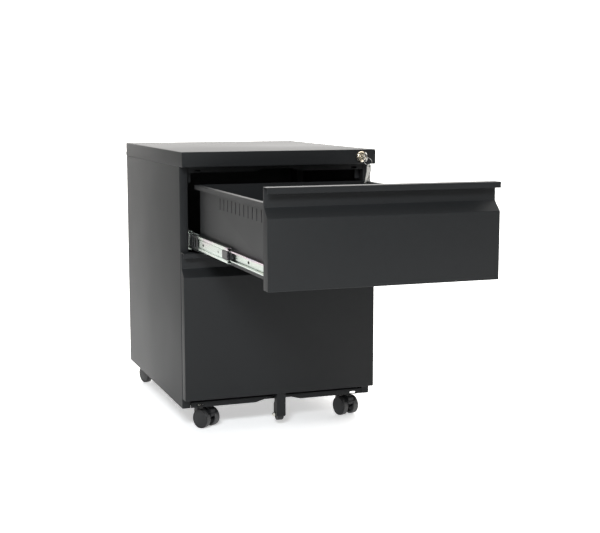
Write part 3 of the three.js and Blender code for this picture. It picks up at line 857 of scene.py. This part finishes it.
RING_LEAN = -32       # degrees that the split ring leans back on the key's bow
RING_R = 8.2
RING_WIRE = 0.3
RING_TURNS = 1.85


def lock():
    """A domed nickel barrel, the core with its keyway, and the key on its split ring."""
    middle = (low("lock_barrel") + high("lock_barrel")) / 2
    centre = (middle.x, 0, middle.z)
    dome = [(6.4 + 4.2 * math.sin(t), -2.3 - 4.1 * math.cos(t))
            for t in (math.radians(6 * i) for i in range(16))]
    barrel = [(6.2, 24), (6.2, -5.8)] + dome + [(10.6, -0.4), (8, -0.3), (8, 24), (6.2, 24)]
    piece("lock_collar", "cabinet", "lock_nickel",
          lambda bm: add_turned(bm, barrel, "y", centre, 64), ("lock_barrel",), edge=0.1)

    core = [(0, -5.9), (4.6, -6.2), (5.6, -5.9), (6.0, -5.2), (6.0, 25.6), (3, 25.6), (3, 28.2),
            (0, 28.2)]

    def keyway(bm):
        x, z = centre[0], centre[2]
        add_block(bm, (x - 1.3, x + 1.3), (-8, 18), (z - 4.1, z + 4.1))

    piece("lock_plug", "lock_core", "lock_nickel",
          lambda bm: add_turned(bm, core, "y", centre, 48), ("lock_core",), edge=0.12,
          tools=[keyway])

    ring_middle = (low("key_ring") + high("key_ring")) / 2
    lean = Matrix.Rotation(math.radians(RING_LEAN), 4, "X")
    hang = Matrix.Translation(ring_middle * MM) @ lean

    def ring(bm):
        steps = 110
        loops = []
        for i in range(steps + 1):
            angle = 2 * math.pi * RING_TURNS * i / steps + 0.6
            out = Vector((math.cos(angle), 0, math.sin(angle)))
            lift = Vector((0, 0.62 * (i / steps - 0.5), 0))
            loops.append([(out * (RING_R + RING_WIRE * math.cos(t)) + lift
                           + Vector((0, RING_WIRE * math.sin(t), 0))) * MM
                          for t in (2 * math.pi * k / 8 for k in range(8))])
        rings = [[bm.verts.new(p) for p in loop] for loop in loops]
        for first, second in zip(rings, rings[1:]):
            for i in range(8):
                j = (i + 1) % 8
                bm.faces.new((first[i], first[j], second[j], second[i]))
        bm.faces.new(rings[0][::-1])
        bm.faces.new(rings[-1])
        bmesh.ops.transform(bm, matrix=hang, verts=bm.verts)

    piece("split_ring", "key_ring", "key_steel", ring, ("key_ring",), edge=0)

    foot = hang @ (Vector((0, 0, -RING_R)) * MM)
    for name, lean, turn, shift in (
            ("spare_key_front", 13, 12, (-0.6, -1.7, -4.4)),
            ("spare_key_rear", -1, -14, (0.5, 1.3, -4.9))):
        spare_key(name, Matrix.Translation(foot + Vector(shift) * MM)
                  @ Matrix.Rotation(math.radians(lean), 4, "Y")
                  @ Matrix.Rotation(math.radians(turn), 4, "Z"))


def key_outline():
    """A spare key seen flat: narrow head above, notched blade below; points are (x, z)."""
    blade = [(-4.4, -6), (-3.3, -7.5), (-3.3, -31), (-1.2, -33.5), (1.4, -33.5), (2.2, -32)]
    cuts = []
    for i, depth in enumerate((1.7, 0.5, 2.0, 0.9, 1.6)):
        z = -29.5 + 3.9 * i
        cuts += [(3.3, z - 1.5), (3.3 - depth, z - 0.3), (3.3 - depth, z + 0.7), (3.3, z + 1.9)]
    return blade + cuts + [(3.3, -7.5), (4.4, -6)] + arc((0, 1.6), 4.8, -10, 190, 24)


def spare_key(name, pose):
    """A flat key with an eye in its head and a groove along its blade."""
    def plate(bm):
        add_prism(bm, key_outline(), "y", -0.9, 0.9)
        bmesh.ops.transform(bm, matrix=pose, verts=bm.verts)

    def eye(bm):
        add_prism(bm, arc((0, 2.6), 2, 0, 345, 23), "y", -2, 2)
        bmesh.ops.transform(bm, matrix=pose, verts=bm.verts)

    def groove(bm):
        add_block(bm, (-1.5, -0.5), (-2, -0.5), (-31, -9))
        bmesh.ops.transform(bm, matrix=pose, verts=bm.verts)

    piece(name, "key_ring", "key_steel", plate, edge=0.25, tools=[eye, groove])


for node in ("front_top_rail", "front_bottom_rail"):
    front_rail(node)
for word, side in SIDES.items():
    guide_strip(word, side)
    for name in DRAWERS:
        for kind in SLIDE_PROFILES:
            slide_member(name, word, side, kind)
        slide_bumper(name, word, side)
        ball_cage(name, word, side)
for name in CASTORS:
    castor(name)
anti_tip()
lock()


# ---- CAD nodes that keep their shape ---------------------------------------------------------

SLOT_OF = {row["node"]: row["material_slot"] for row in frame["record"]["subparts"]}
EDGE_OF = {"powder_coat": 0.22, "slide_zinc": 0.2, "bright_zinc": 0.25, "black_nylon": 0.5}


def finish_cad_nodes():
    """Gives every CAD node that still shows its material and softened edges."""
    for node, thing in frame["nodes"].items():
        if thing.hide_render:
            continue
        slot = SLOT_OF[node]
        thing.data.materials.clear()
        thing.data.materials.append(MATERIALS[slot])
        weld = thing.modifiers.new("weld", "WELD")
        weld.merge_threshold = 0.01 * MM
        soften(thing, EDGE_OF.get(slot, 0.2))


finish_cad_nodes()


# ---- Stage ----------------------------------------------------------------------------------

FLOOR_PAINTED_GLOW = 0.52     # the floor glows: painted light that lightens the shade under and around the cabinet, fading out to the left and front
PAINTED_GLOW_LEFT = -0.68
PAINTED_GLOW_FRONT = -1.0
PAINTED_GLOW_FADE = 0.22
FLOOR_HALF = 12


def stage():
    """A wide pale floor, just under the wheels, that glows with painted light to lighten the shade
    under and around the cabinet.
    """
    bm = bmesh.new()
    corners = [(-FLOOR_HALF, -FLOOR_HALF), (FLOOR_HALF, -FLOOR_HALF),
               (FLOOR_HALF, FLOOR_HALF), (-FLOOR_HALF, FLOOR_HALF)]
    bm.faces.new([bm.verts.new((x, y, -0.0002)) for x, y in corners])
    mesh = bpy.data.meshes.new("floor")
    bm.to_mesh(mesh)
    bm.free()
    floor = bpy.data.objects.new("floor", mesh)
    bpy.context.scene.collection.objects.link(floor)
    n = Nodes("floor_paint_and_painted_glow", IOR=1.45)
    cloud = n.noise(3, 3)
    pale = n.ramp(cloud, [(0.3, (0.90, 0.90, 0.90)), (0.7, (0.93, 0.93, 0.93))])
    # Painted light: the floor gives off its own pale colour, fading out to the left and front, to
    # lighten the cabinet's shadow on it.
    split = n.add("ShaderNodeSeparateXYZ", Vector=n.place)
    painted_glow = n.add("ShaderNodeMath")
    painted_glow.operation = "MULTIPLY"
    across = n.span(split.outputs["X"], 0, FLOOR_PAINTED_GLOW, PAINTED_GLOW_LEFT, PAINTED_GLOW_LEFT + PAINTED_GLOW_FADE)
    along = n.span(split.outputs["Y"], 0, 1, PAINTED_GLOW_FRONT, PAINTED_GLOW_FRONT + PAINTED_GLOW_FADE)
    n.feed(painted_glow.inputs[0], across)
    n.feed(painted_glow.inputs[1], along)
    mesh.materials.append(n.surface(
        Base_Color=pale, Roughness=n.span(cloud, 0.55, 0.65),
        Emission_Color=pale, Emission_Strength=painted_glow.outputs[0]))


def lamp(name, at, aim, size, power, colour=(1, 1, 1)):
    data = bpy.data.lights.new(name, "AREA")
    data.shape = "RECTANGLE"
    data.size, data.size_y = size
    data.energy = power
    data.color = colour
    thing = bpy.data.objects.new(name, data)
    thing.location = at
    thing.rotation_euler = (Vector(aim) - Vector(at)).to_track_quat("-Z", "Y").to_euler()
    bpy.context.scene.collection.objects.link(thing)


# How bright the room is towards each side.
ROOM_FRONT = 0.12
ROOM_BACK = 3.3
ROOM_LEFT = 0.06
ROOM_TOP = 0.35


def lights():
    """White paper behind and above, dimmer room in front and to the left."""
    world = bpy.data.worlds.new("studio")
    world.use_nodes = True
    tree = world.node_tree
    background = tree.nodes["Background"]

    def add(kind, operation=None, **inputs):
        node = tree.nodes.new(kind)
        if operation:
            node.operation = operation
        for socket, value in inputs.items():
            socket = node.inputs[int(socket[1:])] if socket[0] == "_" else node.inputs[socket]
            if isinstance(value, bpy.types.NodeSocket):
                tree.links.new(value, socket)
            else:
                socket.default_value = value
        return node

    def span(value, begin, end, lowest, highest):
        node = add("ShaderNodeMapRange", Value=value)
        for label, number in (("From Min", begin), ("From Max", end),
                              ("To Min", lowest), ("To Max", highest)):
            node.inputs[label].default_value = number
        return node.outputs["Result"]

    place = add("ShaderNodeTexCoord").outputs["Generated"]
    split = add("ShaderNodeSeparateXYZ", Vector=place)
    x, y, z = (split.outputs[axis] for axis in "XYZ")
    round_about = span(y, -0.5, 0.6, ROOM_FRONT, ROOM_BACK)
    shaded = add("ShaderNodeMath", "MULTIPLY", _0=round_about,
                 _1=span(x, -0.5, 0.02, ROOM_LEFT, 1.0)).outputs[0]
    above = span(z, 0.15, 0.8, 0.0, ROOM_TOP)
    strength = add("ShaderNodeMath", "MAXIMUM", _0=shaded, _1=above).outputs[0]
    background.inputs["Color"].default_value = (1.0, 0.985, 0.96, 1)
    tree.links.new(strength, background.inputs["Strength"])
    bpy.context.scene.world = world
    middle = (0, 0, 0.3)
    lamp("key", (-1.3, -2.6, 1.9), middle, (0.8, 0.6), 95, (0.93, 0.97, 1.0))
    lamp("fill", (-0.9, -3.0, 0.75), middle, (0.5, 0.3), 9)
    lamp("overhead", (0.1, 0.9, 2.1), (0.1, 0.5, 0), (3.2, 2.4), 18)


# The camera stands at the left front corner, a little above the cabinet's top.
CAMERA_AT = (-0.756, -2.198, 0.642)
CAMERA_YAW = 19.85
CAMERA_PITCH = 7.95
CAMERA_LENS = 73.04


def camera():
    data = bpy.data.cameras.new("camera")
    data.sensor_width = 36
    data.lens = CAMERA_LENS
    thing = bpy.data.objects.new("camera", data)
    thing.location = CAMERA_AT
    thing.rotation_euler = (
        math.radians(90 - CAMERA_PITCH), 0, -math.radians(CAMERA_YAW))
    bpy.context.scene.collection.objects.link(thing)
    bpy.context.scene.camera = thing


stage()
lights()
camera()
bpy.context.scene.view_settings.view_transform = "Standard"
